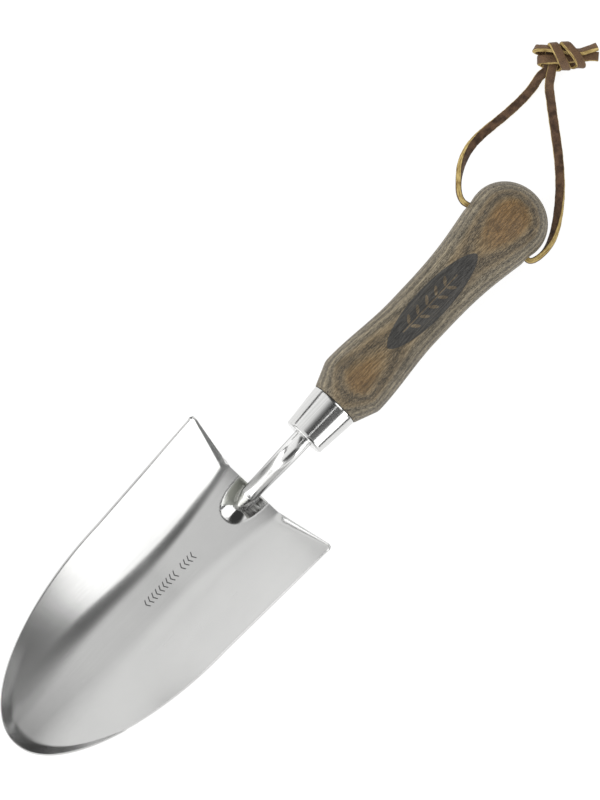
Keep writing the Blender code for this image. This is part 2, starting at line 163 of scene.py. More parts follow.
# The studio is a box of glowing cards, which only reflections see.
ROOM_FRONT, ROOM_END = -1.40, 1.8
ROOM_RIGHT, ROOM_LEFT = -1.02, 1.25
SOFTBOX_START, SOFTBOX_END = -0.36, 0.10
LIT_END, DARK_END, PALE_END = -0.74, -0.46, 0.32  # along the wall on the left
CEILING_HEIGHT = 0.5
CEILING_GREY, CEILING_PALE = 0.92, 1.04
CEILING_BLACK, CEILING_DARK = 0.05, 0.16
SOFTBOX_GLOW, LIT_GLOW, SPOT_GLOW = 2.5, 2.4, 1.9
PALE_GLOW, GREY_GLOW, BLACK_GLOW = 1.25, 0.50, 0.09
FLOOR_HALF_SIDE, FLOOR_Z = 6.0, -2e-4
FLOOR_GREY, FLOOR_GLOW = 0.22, 0.86
KEY_PLACE, KEY_POWER = (-0.7, 0.9, 1.3), 6.0

# ---- Small helpers -------------------------------------------------------------------------------


def smooth(t):
    t = min(1.0, max(0.0, t))
    return t * t * (3 - 2 * t)


def mix(a, b, t):
    return a + (b - a) * t


def grid_faces(rows, columns):
    """The quads of a grid whose points are numbered along each row in turn."""
    faces = []
    for i in range(rows):
        for j in range(columns):
            a = i * (columns + 1) + j
            faces.append((a, a + 1, a + columns + 2, a + columns + 1))
    return faces


def unit(v):
    return v / max(np.linalg.norm(v), 1e-12)


def mesh_object(name, verts, faces, material, attributes=None):
    mesh = bpy.data.meshes.new(name)
    mesh.from_pydata([tuple(v) for v in verts], [], faces)
    mesh.validate()
    for face in mesh.polygons:
        face.use_smooth = True
    for key, values in (attributes or {}).items():
        layer = mesh.attributes.new(key, "FLOAT", "POINT")
        layer.data.foreach_set("value", np.asarray(values, np.float32))
    mesh.materials.append(material)
    obj = bpy.data.objects.new(name, mesh)
    SCENE.collection.objects.link(obj)
    return obj


def catmull(points, samples):
    """Points on the smooth curve through these rows of numbers, with samples of them per span."""
    p = np.array(points, float)
    p = np.vstack([2 * p[0] - p[1], p, 2 * p[-1] - p[-2]])
    out = []
    for a, b, c, d in zip(p, p[1:], p[2:], p[3:]):
        for i in range(samples):
            t = i / samples
            out.append(
                0.5
                * (
                    2 * b
                    + (c - a) * t
                    + (2 * a - 5 * b + 4 * c - d) * t**2
                    + (3 * b - a - 3 * c + d) * t**3
                )
            )
    out.append(p[-2])
    return np.array(out)


class Field:
    """A shader value. Python arithmetic on it makes Math nodes."""

    def __init__(self, tree, socket):
        self.tree, self.socket = tree, socket

    def math(self, operation, *others):
        node = self.tree.nodes.new("ShaderNodeMath")
        node.operation = operation
        for i, value in enumerate((self, *others)):
            if isinstance(value, Field):
                self.tree.links.new(value.socket, node.inputs[i])
            else:
                node.inputs[i].default_value = value
        return Field(self.tree, node.outputs[0])

    def __add__(self, other):
        return self.math("ADD", other)

    def __sub__(self, other):
        return self.math("SUBTRACT", other)

    def __mul__(self, other):
        return self.math("MULTIPLY", other)

    def __truediv__(self, other):
        return self.math("DIVIDE", other)

    def __neg__(self):
        return self.math("MULTIPLY", -1.0)

    def __abs__(self):
        return self.math("ABSOLUTE")

    def power(self, exponent):
        return self.math("MAXIMUM", 0.0).math("POWER", exponent)

    def within(self, low, high):
        """0 at low, 1 at high, and smooth between them. low may be above high."""
        node = self.tree.nodes.new("ShaderNodeMapRange")
        node.interpolation_type = "SMOOTHSTEP"
        flip = low > high
        if flip:
            low, high = high, low
        self.tree.links.new(self.socket, node.inputs["Value"])
        node.inputs["From Min"].default_value = low
        node.inputs["From Max"].default_value = high
        node.inputs["To Min"].default_value = 1.0 if flip else 0.0
        node.inputs["To Max"].default_value = 0.0 if flip else 1.0
        return Field(self.tree, node.outputs["Result"])

    def between(self, low, high, soft):
        """1 between low and high, and 0 beyond them."""
        return self.within(low, low + soft) * self.within(high, high - soft)


# ---- Camera, floor and light ---------------------------------------------------------------------


def make_camera():
    data = bpy.data.cameras.new("camera")
    data.lens = data.sensor_width * CAMERA_DISTANCE / VIEW_HEIGHT
    data.clip_start, data.clip_end = 0.01, 40.0
    camera = bpy.data.objects.new("camera", data)
    camera.location = (*VIEW_CENTRE, CAMERA_FOCUS_Z + CAMERA_DISTANCE)
    camera.rotation_euler = (0.0, 0.0, -VIEW_TURN)
    SCENE.collection.objects.link(camera)
    SCENE.camera = camera


def glowing_nodes(name, radiance):
    """A material that gives off light and reflects none, with its tree and its emission node."""
    material = bpy.data.materials.new(name)
    material.use_nodes = True
    tree = material.node_tree
    tree.nodes.clear()
    out = tree.nodes.new("ShaderNodeOutputMaterial")
    glow = tree.nodes.new("ShaderNodeEmission")
    glow.inputs["Strength"].default_value = radiance
    tree.links.new(glow.outputs[0], out.inputs["Surface"])
    return material, tree, glow


def glowing(name, radiance):
    return glowing_nodes(name, radiance)[0]


def card(name, corners, material):
    """A studio card that only reflections see."""
    mesh = bpy.data.meshes.new(name)
    mesh.from_pydata(corners, [], [(0, 1, 2, 3)])
    mesh.materials.append(material)
    obj = bpy.data.objects.new(name, mesh)
    SCENE.collection.objects.link(obj)
    obj.visible_camera = False
    obj.visible_diffuse = False
    obj.visible_shadow = False
    obj.visible_transmission = False
    obj.visible_volume_scatter = False


def level_card(name, x, y, z, material):
    card(name, [(x[0], y[0], z), (x[1], y[0], z), (x[1], y[1], z), (x[0], y[1], z)], material)


def upright_card(name, x, y, z, material):
    card(name, [(x[0], y, z[0]), (x[1], y, z[0]), (x[1], y, z[1]), (x[0], y, z[1])], material)


def wall_card(name, start, end, material):
    top = CEILING_HEIGHT
    card(name, [(*start, 0.0), (*end, 0.0), (*end, top), (*start, top)], material)


def make_ceiling():
    """Grey overhead, pale towards +Y, and dark towards +X and -Y, with a paler patch in the dark."""
    material, tree, glow = glowing_nodes("ceiling", 1.0)
    split = tree.nodes.new("ShaderNodeSeparateXYZ")
    tree.links.new(tree.nodes.new("ShaderNodeTexCoord").outputs["Object"], split.inputs[0])
    x, y = (Field(tree, split.outputs[i]) for i in range(2))
    pale = y.within(0.0, 0.35) * (CEILING_PALE - CEILING_GREY) + CEILING_GREY
    dark = (x - y * 0.42).within(-0.09, 0.04).math("MAXIMUM", y.within(-0.13, -0.33))
    dark = dark.math("MAXIMUM", x.within(0.22, 0.50))
    dark = dark.math("MAXIMUM", y.within(-0.07, -0.20) * x.within(-0.10, -0.16))
    depth = y.within(-0.12, -0.95) * (CEILING_DARK - CEILING_BLACK) + CEILING_BLACK
    side_light = x.within(-0.16, -0.08) * x.within(0.06, 0.0) * y.within(-0.12, -0.22)
    depth = depth + side_light * 0.26
    radiance = pale * (-dark + 1.0) + dark * depth
    tree.links.new(radiance.socket, glow.inputs["Strength"])
    level_card("ceiling", (-1.3, 1.8), (-1.0, 1.2), CEILING_HEIGHT, material)


def make_world():
    world = bpy.data.worlds.new("studio")
    world.use_nodes = True
    background = world.node_tree.nodes["Background"]
    background.inputs["Color"].default_value = (1.0, 1.0, 1.0, 1.0)
    background.inputs["Strength"].default_value = 1.0
    SCENE.world = world
    SCENE.view_settings.view_transform = "Standard"


def make_floor():
    material = bpy.data.materials.new("floor")
    material.use_nodes = True
    shader = material.node_tree.nodes["Principled BSDF"]
    shader.inputs["Base Color"].default_value = (FLOOR_GREY, FLOOR_GREY, FLOOR_GREY, 1.0)
    shader.inputs["Roughness"].default_value = 0.9
    shader.inputs["Specular IOR Level"].default_value = 0.0
    shader.inputs["Emission Color"].default_value = (1.0, 1.0, 1.0, 1.0)
    shader.inputs["Emission Strength"].default_value = FLOOR_GLOW
    mesh = bpy.data.meshes.new("floor")
    side, z = FLOOR_HALF_SIDE, FLOOR_Z
    corners = [(-side, -side, z), (side, -side, z), (side, side, z), (-side, side, z)]
    mesh.from_pydata(corners, [], [(0, 1, 2, 3)])
    mesh.materials.append(material)
    floor = bpy.data.objects.new("floor", mesh)
    SCENE.collection.objects.link(floor)


def make_cards():
    """The walls all round, then the smaller cards that stand before them."""
    bright = glowing("softbox", SOFTBOX_GLOW)
    pale = glowing("pale_card", PALE_GLOW)
    grey = glowing("grey_card", GREY_GLOW)
    black = glowing("black_card", BLACK_GLOW)
    below = CEILING_HEIGHT - 0.01
    wall_card("softbox", (SOFTBOX_START, ROOM_RIGHT), (SOFTBOX_END, ROOM_RIGHT), bright)
    level_card("softbox_top", (SOFTBOX_START, SOFTBOX_END), (ROOM_RIGHT, -0.92), below, bright)
    wall_card("wall_right_near", (ROOM_FRONT, ROOM_RIGHT), (SOFTBOX_START, ROOM_RIGHT), grey)
    wall_card("wall_right_far", (SOFTBOX_END, ROOM_RIGHT), (ROOM_END, ROOM_RIGHT), black)
    wall_card("wall_end", (ROOM_END, -1.0), (ROOM_END, ROOM_LEFT), black)
    wall_card("wall_left_far", (PALE_END, ROOM_LEFT), (ROOM_END, ROOM_LEFT), black)
    wall_card("wall_left", (DARK_END, ROOM_LEFT), (PALE_END, ROOM_LEFT), pale)
    upright_card("wall_left_low", (-0.10, 0.30), 1.24, (0.0, 0.24), black)
    wall_card("wall_left_dark", (LIT_END, ROOM_LEFT), (DARK_END, ROOM_LEFT), black)
    level_card("lip_dark", (LIT_END, -0.44), (0.40, 1.24), below - 0.01, black)
    lit = glowing("lit_card", LIT_GLOW)
    wall_card("wall_left_bright", (ROOM_FRONT, ROOM_LEFT), (LIT_END, ROOM_LEFT), lit)
    level_card("lip_bright", (-1.39, LIT_END), (0.40, 1.24), below - 0.01, lit)
    wall_card("wall_front", (ROOM_FRONT, ROOM_LEFT), (ROOM_FRONT, -0.60), lit)
    level_card("ceiling_slit", (-0.03, 0.25), (-0.118, -0.100), below, bright)
    level_card("spot", (0.070, 0.170), (-0.150, 0.004), 0.22, glowing("spot", SPOT_GLOW))
    upright_card("side_card", (-0.03, 0.16), -0.25, (0.08, 0.23), bright)
    level_card("floor_strip", (-0.01, 0.12), (-0.80, -0.15), 1e-4, black)


def make_key_light():
    key = bpy.data.lights.new("key", "AREA")
    key.shape = "RECTANGLE"
    key.size, key.size_y = 1.0, 1.0
    key.energy = KEY_POWER
    lamp = bpy.data.objects.new("key", key)
    lamp.location = KEY_PLACE
    lamp.rotation_euler = (-lamp.location).to_track_quat("-Z", "Y").to_euler()
    lamp.visible_glossy = False
    SCENE.collection.objects.link(lamp)


# ---- Materials -----------------------------------------------------------------------------------


class Finish:
    """A Principled material, with the few nodes that this scene needs."""

    def __init__(self, name, metallic):
        self.material = bpy.data.materials.new(name)
        self.material.use_nodes = True
        self.tree = self.material.node_tree
        self.shader = self.tree.nodes["Principled BSDF"]
        self.shader.inputs["Metallic"].default_value = metallic

    def node(self, kind):
        return self.tree.nodes.new(kind)

    def object_coordinates(self):
        split = self.node("ShaderNodeSeparateXYZ")
        self.tree.links.new(self.node("ShaderNodeTexCoord").outputs["Object"], split.inputs[0])
        return [Field(self.tree, split.outputs[i]) for i in range(3)]

    def attribute(self, name):
        node = self.node("ShaderNodeAttribute")
        node.attribute_name = name
        return Field(self.tree, node.outputs["Fac"])

    def facing(self):
        """0 where the surface faces the eye and 1 where it is seen edge on."""
        return Field(self.tree, self.node("ShaderNodeLayerWeight").outputs["Facing"])

    def vector(self, x, y, z):
        join = self.node("ShaderNodeCombineXYZ")
        for i, value in enumerate((x, y, z)):
            if isinstance(value, Field):
                self.tree.links.new(value.socket, join.inputs[i])
            else:
                join.inputs[i].default_value = value
        return join.outputs[0]

    def noise(self, vector, scale, detail, roughness=0.5):
        node = self.node("ShaderNodeTexNoise")
        self.tree.links.new(vector, node.inputs["Vector"])
        node.inputs["Scale"].default_value = scale
        node.inputs["Detail"].default_value = detail
        node.inputs["Roughness"].default_value = roughness
        return Field(self.tree, node.outputs["Fac"])

    def blend(self, factor, low, high):
        """A colour between two, each a tuple or another blend."""
        node = self.node("ShaderNodeMix")
        node.data_type = "RGBA"
        self.tree.links.new(factor.socket, node.inputs["Factor"])
        for socket, value in ((node.inputs[6], low), (node.inputs[7], high)):
            if isinstance(value, tuple):
                socket.default_value = (*value, 1.0)
            else:
                self.tree.links.new(value, socket)
        return node.outputs[2]

    def colour(self, socket):
        self.tree.links.new(socket, self.shader.inputs["Base Color"])

    def roughness(self, field):
        self.tree.links.new(field.socket, self.shader.inputs["Roughness"])

    def bump(self, height, distance):
        """height is a field of about 0 to 1, and distance is what 1 stands for, in metres."""
        node = self.node("ShaderNodeBump")
        node.inputs["Distance"].default_value = distance
        self.tree.links.new(height.socket, node.inputs["Height"])
        self.tree.links.new(node.outputs[0], self.shader.inputs["Normal"])


def satin_steel():
    """Brushed along the blade, bright in the pocket, with a heat tint to the left of the rod's foot."""
    finish = Finish("satin_stainless", metallic=1.0)
    x, y, z = finish.object_coordinates()
    pocket = finish.attribute("pocket")
    streaks = finish.noise(finish.vector(x * 22.0, y * 1500.0, z * 1500.0), 1.0, 3.0, 0.6)
    clouds = finish.noise(finish.vector(x, y, z), 38.0, 3.0)
    # The etched mark: two short rows of chevrons.
    across = abs(y + 0.0005)
    pitch_mm = 2.35
    beat = (x * 1000.0 - across * 550.0) / pitch_mm
    stroke = abs(beat - beat.math("FLOOR") - 0.5).within(0.16, 0.10)
    rows = across.within(0.0020, 0.00185)
    first = x.between(-0.0863, -0.0652, 1e-4)
    second = x.between(-0.0631, -0.0532, 1e-4)
    mark = stroke * rows * (first + second)
    colour = finish.blend(clouds, (0.57, 0.57, 0.565), (0.64, 0.64, 0.63))
    colour = finish.blend(pocket, colour, (0.70, 0.70, 0.69))
    tint = finish.attribute("tint")
    colour = finish.blend(tint, colour, (0.47, 0.48, 0.44))
    colour = finish.blend(mark, colour, (0.20, 0.20, 0.20))
    finish.colour(colour)
    rough = (streaks * 0.10 + 0.20) * (pocket * -0.72 + 1.0) + mark * 0.3 + tint * 0.34
    finish.roughness(rough)
    finish.bump(streaks * (pocket * -0.95 + 1.0) - mark * 4.0, 1.2e-6)
    return finish.material


def polished_steel(name, low, high, rough, edge):
    """Bright steel with fine lengthwise lines. edge is how much painted shade darkens it where it turns
    away from the eye.
    """
    finish = Finish(name, metallic=1.0)
    x, y, z = finish.object_coordinates()
    place = finish.vector(x, y, z)
    turn = finish.noise(finish.vector(x * 3.0, y * 1100.0, z * 3.0), 1.0, 3.0, 0.6)
    smear = finish.noise(place, 90.0, 3.0)
    lines = turn.within(0.30, 0.70)
    colour = finish.blend(smear, low, high)
    colour = finish.blend(lines * 0.22, colour, tuple(0.6 * value for value in low))
    # Painted shade: darker where the surface is seen edge on, by the edge amount.
    finish.colour(finish.blend(finish.facing().within(0.45, 0.85) * edge, colour, (0.12, 0.12, 0.12)))
    finish.roughness(smear * 0.05 + lines * 0.05 + rough)
    finish.bump(lines, 3.0e-6)
    return finish.material


def weld_steel():
    """Heat-tinted and matt on the left of the rod's foot; on its right a band of painted shade, then
    streaks.
    """
    finish = Finish("weld_steel", metallic=1.0)
    x, y, z = finish.object_coordinates()
    blotches = finish.noise(finish.vector(x, y, z), 900.0, 3.0, 0.6).within(0.35, 0.65)
    streaks = finish.noise(finish.vector(x * 60.0, y * 1700.0, z * 500.0), 1.0, 2.0).within(0.40, 0.60)
    # Painted shade: a dark band just right of the rod's foot, standing for the shade on that side, and a
    # little less rough.
    painted_shade_band = y.within(-0.0002, -0.0018) * y.within(-0.0046, -0.0032)
    right = y.within(-0.0026, -0.0034)
    pale = finish.blend(blotches, (0.56, 0.57, 0.53), (0.74, 0.74, 0.71))
    # dark is the colour of the painted shade band.
    dark = finish.blend(blotches, (0.14, 0.14, 0.14), (0.62, 0.61, 0.59))
    streaked = finish.blend(streaks, (0.36, 0.36, 0.35), (0.90, 0.90, 0.89))
    finish.colour(finish.blend(right, finish.blend(painted_shade_band, pale, dark), streaked))
    finish.roughness(painted_shade_band * -0.12 + blotches * 0.08 + 0.30)
    finish.bump(blotches, 2.5e-5)
    return finish.material


def smoked_ash():
    """Grown rings cut by the turned shape. In the handle's own frame: Z to the butt, -X up. Millimetres."""
    finish = Finish("smoked_ash", metallic=0.0)
    finish.shader.inputs["Specular IOR Level"].default_value = 0.28
    x, y, z = finish.object_coordinates()
    up, side, along = -x * 1000.0, y * 1000.0, z * 1000.0
    drift = finish.noise(finish.vector(up * 0.05, side * 0.07, along * 0.022), 1.0, 2.0) - 0.5
    ripple = finish.noise(finish.vector(up * 0.4, side * 0.4, along * 0.13), 1.0, 4.0, 0.6) - 0.5
    height = up - (along - 112.0) * 0.0133 + drift * 1.5 + ripple * 1.5
    # Which ring a point is in, counted down from the top of the swells, and how far into it.
    ring = (-height + 18.5) / 3.2
    share = ring - ring.math("FLOOR")
    early = share.within(0.60, 0.0).math("MAXIMUM", share.within(0.50, 0.98))
    early = early * (ring.within(0.2, 0.85) * 0.72 + 0.28)
    fibre = finish.noise(finish.vector(up * 1.7, side * 1.7, along * 0.10), 1.0, 4.0, 0.7)
    fibre = fibre.within(0.37, 0.63)
    vessels = finish.noise(finish.vector(up * 2.5, side * 2.5, along * 0.85), 1.0, 2.0, 0.6)
    vessels = vessels.within(0.49, 0.60)
    clouds = finish.noise(finish.vector(up * 0.16, side * 0.16, along * 0.05), 1.0, 3.0)
    clouds = clouds.within(0.35, 0.65)
    heart = ring.within(0.85, 0.25)
    core = ring.within(0.60, 0.05)
    outer = ring.within(1.2, 2.2)
    brown = finish.blend(fibre, (0.118, 0.084, 0.044), (0.300, 0.224, 0.126))
    orange = finish.blend(fibre, (0.100, 0.056, 0.017), (0.310, 0.186, 0.066))
    grey = finish.blend(fibre, (0.150, 0.125, 0.081), (0.405, 0.345, 0.240))
    colour = finish.blend(heart * (clouds * 0.5 + 0.5), brown, orange)
    ember = finish.blend(fibre, (0.150, 0.078, 0.022), (0.300, 0.165, 0.055))
    colour = finish.blend(core * 0.65, colour, ember)
    colour = finish.blend(outer * 0.9, colour, grey)
    colour = finish.blend(clouds * 0.30, colour, (0.105, 0.092, 0.070))
    dark = finish.blend(fibre, (0.036, 0.033, 0.028), (0.110, 0.095, 0.073))
    colour = finish.blend(early * (vessels * 0.30 + 0.48), colour, dark)
    colour = finish.blend(vessels * (early * 0.30 + 0.30), colour, (0.040, 0.034, 0.026))
    # The printed patch, with a plain sprig on it.
    patch_centre, patch_half_length, patch_half_width = 62.8, 29.5, 7.4
    reach = (along - patch_centre) / patch_half_length
    half = (-(reach * reach) + 1.0).power(0.6) * patch_half_width
    patch = (half - abs(side)).within(-0.10, 0.10) * up.within(0.0, 1.0)
    slate = finish.blend(fibre, (0.030, 0.030, 0.029), (0.066, 0.065, 0.062))
    colour = finish.blend(patch * (vessels * -0.15 + 0.97), colour, slate)
    leaf_pitch, sprig_start, sprig_end = 6.0, 46.0, 76.0
    run = (along - sprig_start) / leaf_pitch
    run = (run - run.math("FLOOR")) * leaf_pitch
    slant_u = (abs(side) - 2.2) * 0.70 + (run - 3.6) * 0.72
    slant_v = (abs(side) - 2.2) * 0.72 - (run - 3.6) * 0.70
    leaf = (slant_u * slant_u) / 5.5 + (slant_v * slant_v) / 0.62
    leaf = leaf.within(1.10, 0.90) * along.between(sprig_start - 0.1, sprig_end + 0.1, 0.2)
    stem = abs(side).within(0.34, 0.24) * along.within(43.0, 44.0) * along.within(80.0, 79.0)
    sprig = leaf.math("MAXIMUM", stem) * up.within(0.0, 1.0)
    worn = finish.blend(fibre, (0.075, 0.056, 0.034), (0.215, 0.165, 0.100))
    colour = finish.blend(sprig * (vessels * -0.3 + 0.9), colour, worn)
    finish.colour(colour)
    finish.roughness(vessels * 0.15 + fibre * 0.10 + patch * 0.08 + 0.36)
    finish.bump(fibre * 0.5 - vessels * (early * 0.6 + 0.4), 9.0e-5)
    return finish.material


def laced_leather():
    """Brown on the two wide faces and raw tan on the cut edges. The lace's own attributes say where."""
    finish = Finish("brown_leather", metallic=0.0)
    finish.shader.inputs["Specular IOR Level"].default_value = 0.25
    edge, run, around = (finish.attribute(name) for name in ("edge", "run", "around"))
    x, y, z = finish.object_coordinates()
    place = finish.vector(x, y, z)
    grain = finish.noise(place, 2300.0, 3.0, 0.6)
    mottle = finish.noise(place, 300.0, 3.0)
    streak = finish.noise(finish.vector(run * 260.0, around * 2600.0, 0.0), 1.0, 3.0, 0.65)
    cut = (edge + (grain - 0.5) * 0.35).within(0.42, 0.60)
    brown = finish.blend(mottle.within(0.3, 0.7), (0.052, 0.026, 0.012), (0.140, 0.076, 0.038))
    brown = finish.blend(run.within(0.100, 0.125) * 0.55, brown, (0.200, 0.116, 0.058))
    brown = finish.blend(grain.within(0.45, 0.70) * 0.55, brown, (0.022, 0.014, 0.010))
    tan = finish.blend(streak.within(0.3, 0.7), (0.200, 0.122, 0.030), (0.640, 0.490, 0.190))
    tan = finish.blend(mottle.within(0.55, 0.70) * 0.40, tan, (0.130, 0.075, 0.030))
    finish.colour(finish.blend(cut, brown, tan))
    finish.roughness(grain * 0.25 + cut * 0.15 + 0.45)
    finish.bump(grain * 0.6 + streak * cut * 0.8, 1.4e-4)
    return finish.material


# ---- Blade ---------------------------------------------------------------------------------------


def blade_half_width(along):
    if along < NOSE_LENGTH:
        return NOSE_HALF_WIDTH * math.sqrt(max(0.0, 1 - (1 - along / NOSE_LENGTH) ** 2))
    share = (along - NOSE_LENGTH) / (REAR_AT_CORNER - NOSE_LENGTH)
    return mix(NOSE_HALF_WIDTH, REAR_HALF_WIDTH, share)


def channel_half_width(along):
    share = (along - CHANNEL_FLARE_START) / (REAR_AT_CHANNEL - CHANNEL_FLARE_START)
    front = mix(CHANNEL_AT_TIP, CHANNEL_HALF_WIDTH, smooth(along / CHANNEL_FULL))
    return front + CHANNEL_FLARE * max(0.0, share) ** 2


def shoulder_share(across):
    inner = CHANNEL_HALF_WIDTH + CHANNEL_FLARE
    return min(1.0, max(0.0, (across - inner) / (REAR_HALF_WIDTH - inner)))


def rear_edge(across):
    edge = mix(REAR_AT_CHANNEL, REAR_AT_CORNER, shoulder_share(across))
    into = (across - REAR_HALF_WIDTH + CORNER_RADIUS) / CORNER_RADIUS
    if into > 0:
        edge -= CORNER_RADIUS * (1 - math.sqrt(max(0.0, 1 - min(1.0, into) ** 2)))
    return edge


def blade_floor(along):
    ramp = RAMP_RISE * smooth((along - RAMP_START) / (RAMP_END - RAMP_START))
    lift = NOSE_LIFT * max(0.0, 1 - along / NOSE_LIFT_START) ** 2
    return SHEET + ramp + lift


def wall_rise(along, across):
    out = across - channel_half_width(along)
    if out <= 0:
        return 0.0
    bend = mix(WALL_BEND_AT_TIP, WALL_BEND_AT_REAR, smooth(along / REAR_AT_CHANNEL))
    run = out * out / (2 * bend) if out < bend else out - bend / 2
    slope = mix(WALL_SLOPE_AT_TIP, WALL_SLOPE, smooth(along / WALL_SLOPE_FULL))
    return slope * run + WALL_CURVE * out * out


def rim_rise(along, across):
    if along >= RIM_END:
        return 0.0
    front, side = 1 - along / NOSE_LENGTH, across / NOSE_HALF_WIDTH
    out = math.hypot(front, side)
    inwards = (1 - out) * out / math.hypot(front / NOSE_LENGTH, side / NOSE_HALF_WIDTH)
    share = max(0.0, 1 - inwards / RIM_WIDTH)
    curl = RIM_CURL * share**RIM_POWER * smooth((RIM_END - along) / (RIM_END / 2)) * (front / out) ** 2
    width = CREASE_WIDTH * max(0.0, 1 - along / CREASE_END)
    crease = CREASE_SLOPE * max(0.0, width - inwards)
    return mix(curl, crease, smooth((-across - 0.001) / 0.010))


def lip_rise(along, across):
    share = shoulder_share(across)
    if share <= 0:
        return 0.0
    taper = mix(1.0, LIP_TAPER, share)
    into = max(0.0, 1 - (rear_edge(across) - along) / (LIP_WIDTH * taper))
    shape = into**LIP_POWER - LIP_DROP * (max(0.0, into - LIP_ROLL) / (1 - LIP_ROLL)) ** 2
    return LIP_RISE * taper * smooth(share / 0.22) * shape


def pocket_share(along, across):
    forward = max(0.0, (REAR_AT_CHANNEL - along) / POCKET_LENGTH)
    spread = forward**POCKET_POWER + (across / POCKET_HALF_WIDTH) ** POCKET_POWER
    return max(0.0, 1 - spread) ** POCKET_WALL_POWER


def blade_height(along, across):
    rim = rim_rise(along, across)
    across = abs(across)
    height = blade_floor(along) + wall_rise(along, across)
    height += rim + lip_rise(along, across)
    return mix(height, POCKET_FLOOR, pocket_share(along, across))


def blade_plan(back, side):
    """Where a grid point lies: back is 0 at the rear edge and 2 at the tip, side is -1 to 1 across."""
    side = math.copysign(abs(side) ** 1.25, side)
    if back <= 1:
        edge = rear_edge(abs(side) * REAR_HALF_WIDTH)
        along = mix(edge, NOSE_LENGTH, back**1.5)
        return along, side * blade_half_width(along)
    front = back - 1
    along = NOSE_LENGTH * (1 - front * math.sqrt(1 - side**2 / 2))
    return along, side * NOSE_HALF_WIDTH * math.sqrt(1 - front**2 / 2)


def make_blade(material):
    rows_rear, rows_nose, columns = 120, 90, 150
    rows = rows_rear + rows_nose
    verts, pocket, tint = [], [], []
    for i in range(rows + 1):
        back = i / rows_rear if i <= rows_rear else 1 + (i - rows_rear) / rows_nose
        for j in range(columns + 1):
            along, across = blade_plan(back, 2 * j / columns - 1)
            verts.append((TIP_X + along, across, blade_height(along, across)))
            pocket.append(min(1.0, 3 * pocket_share(along, abs(across))))
            heated = smooth((across + 0.0005) / 0.003)
            heated *= smooth((along + 0.945 * across - 0.1487) / 0.0012)
            tint.append(heated * pocket[-1])
    faces = grid_faces(rows, columns)
    blade = mesh_object("blade_sheet", verts, faces, material, {"pocket": pocket, "tint": tint})
    sheet = blade.modifiers.new("Sheet", "SOLIDIFY")
    sheet.thickness = SHEET
    sheet.offset = -1.0
    sheet.use_even_offset = True
    round_edge = blade.modifiers.new("Rounded edge", "BEVEL")
    round_edge.width = EDGE_ROUND
    round_edge.segments = 2
    round_edge.limit_method = "ANGLE"
    round_edge.angle_limit = math.radians(50)
    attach(blade, "tool")
    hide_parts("blade")


# ---- Turned pieces -------------------------------------------------------------------------------


def handle_radius(z):
    if z < FRONT_CONE_END:
        return mix(SHOULDER_RADIUS, FRONT_CONE_RADIUS, z / FRONT_CONE_END)
    if z < FRONT_SWELL:
        share = (z - FRONT_CONE_END) / (FRONT_SWELL - FRONT_CONE_END)
        return mix(FRONT_CONE_RADIUS, FRONT_SWELL_RADIUS, math.sin(share * math.pi / 2))
    if z < WAIST:
        share = (z - FRONT_SWELL) / (WAIST - FRONT_SWELL)
        return mix(FRONT_SWELL_RADIUS, WAIST_RADIUS, smooth(share))
    if z < BUTT_SWELL:
        share = (z - WAIST) / (BUTT_SWELL - WAIST)
        return mix(WAIST_RADIUS, BUTT_SWELL_RADIUS, smooth(share**WAIST_POWER))
    share = (z - BUTT_SWELL) / (HANDLE_LENGTH - BUTT_SWELL)
    return BUTT_SWELL_RADIUS * math.sqrt(max(0.0, 1 - share**2))


def ferrule_radius(z):
    return mix(FERRULE_BACK_RADIUS, FERRULE_FRONT_RADIUS, -z / FERRULE_LENGTH)


def turned(name, profile, sides, closed, material):
    """A profile of (radius, height) points turned about Z. Points on the axis become one point."""
    verts, rings = [], []
    for radius, height in profile:
        if radius < 1e-9:
            rings.append([len(verts)] * sides)
            verts.append((0.0, 0.0, height))
            continue
        rings.append(list(range(len(verts), len(verts) + sides)))
        for k in range(sides):
            a = 2 * math.pi * k / sides
            verts.append((radius * math.cos(a), radius * math.sin(a), height))
    pairs = list(zip(rings, rings[1:]))
    if closed:
        pairs.append((rings[-1], rings[0]))
    faces = []
    for upper, lower in pairs:
        for k in range(sides):
            n = (k + 1) % sides
            faces.append(tuple(dict.fromkeys((upper[k], lower[k], lower[n], upper[n]))))
    return mesh_object(name, verts, faces, material)


def handle_axis():
    """The middle of the handle's shoulder, and the way from there to the butt."""
    direction = Vector((math.cos(HANDLE_TILT), 0.0, -math.sin(HANDLE_TILT)))
    shoulder = Vector((TOOL_LENGTH / 2 - HANDLE_LENGTH * direction.x, 0.0, 0.0))
    shoulder.z = BUTT_SWELL_RADIUS + BUTT_CLEARANCE - BUTT_SWELL * direction.z
    return shoulder, direction


def place_on_handle_axis(obj):
    obj.location = handle_axis()[0]
    obj.rotation_euler = (0.0, math.pi / 2 + HANDLE_TILT, 0.0)


def handle_outline():
    """From the butt round the outside to the shoulder, then the spigot and the tang's bore."""
    outline = [(0.0, HANDLE_LENGTH)]
    for i in range(1, 41):
        a = math.pi / 2 * i / 40
        length = HANDLE_LENGTH - BUTT_SWELL
        outline.append((BUTT_SWELL_RADIUS * math.sin(a), BUTT_SWELL + length * math.cos(a)))
    stretches = (
        (BUTT_SWELL, FRONT_SWELL, 120),
        (FRONT_SWELL, FRONT_CONE_END, 5),
        (FRONT_CONE_END, 0.0004, 12),
    )
    for start, end, steps in stretches:
        for i in range(1, steps + 1):
            z = mix(start, end, i / steps)
            outline.append((handle_radius(z), z))
    inner = FERRULE_WALL + GAP
    outline += [
        (SHOULDER_RADIUS - 0.0002, 0.0),
        (ferrule_radius(0.0) - inner, 0.0),
        (ferrule_radius(-SPIGOT_LENGTH) - inner, -SPIGOT_LENGTH),
        (TANG_BORE_RADIUS, -SPIGOT_LENGTH),
        (TANG_BORE_RADIUS, TANG_BORE_DEPTH),
        (0.0, TANG_BORE_DEPTH + TANG_BORE_RADIUS / 2),
    ]
    return outline


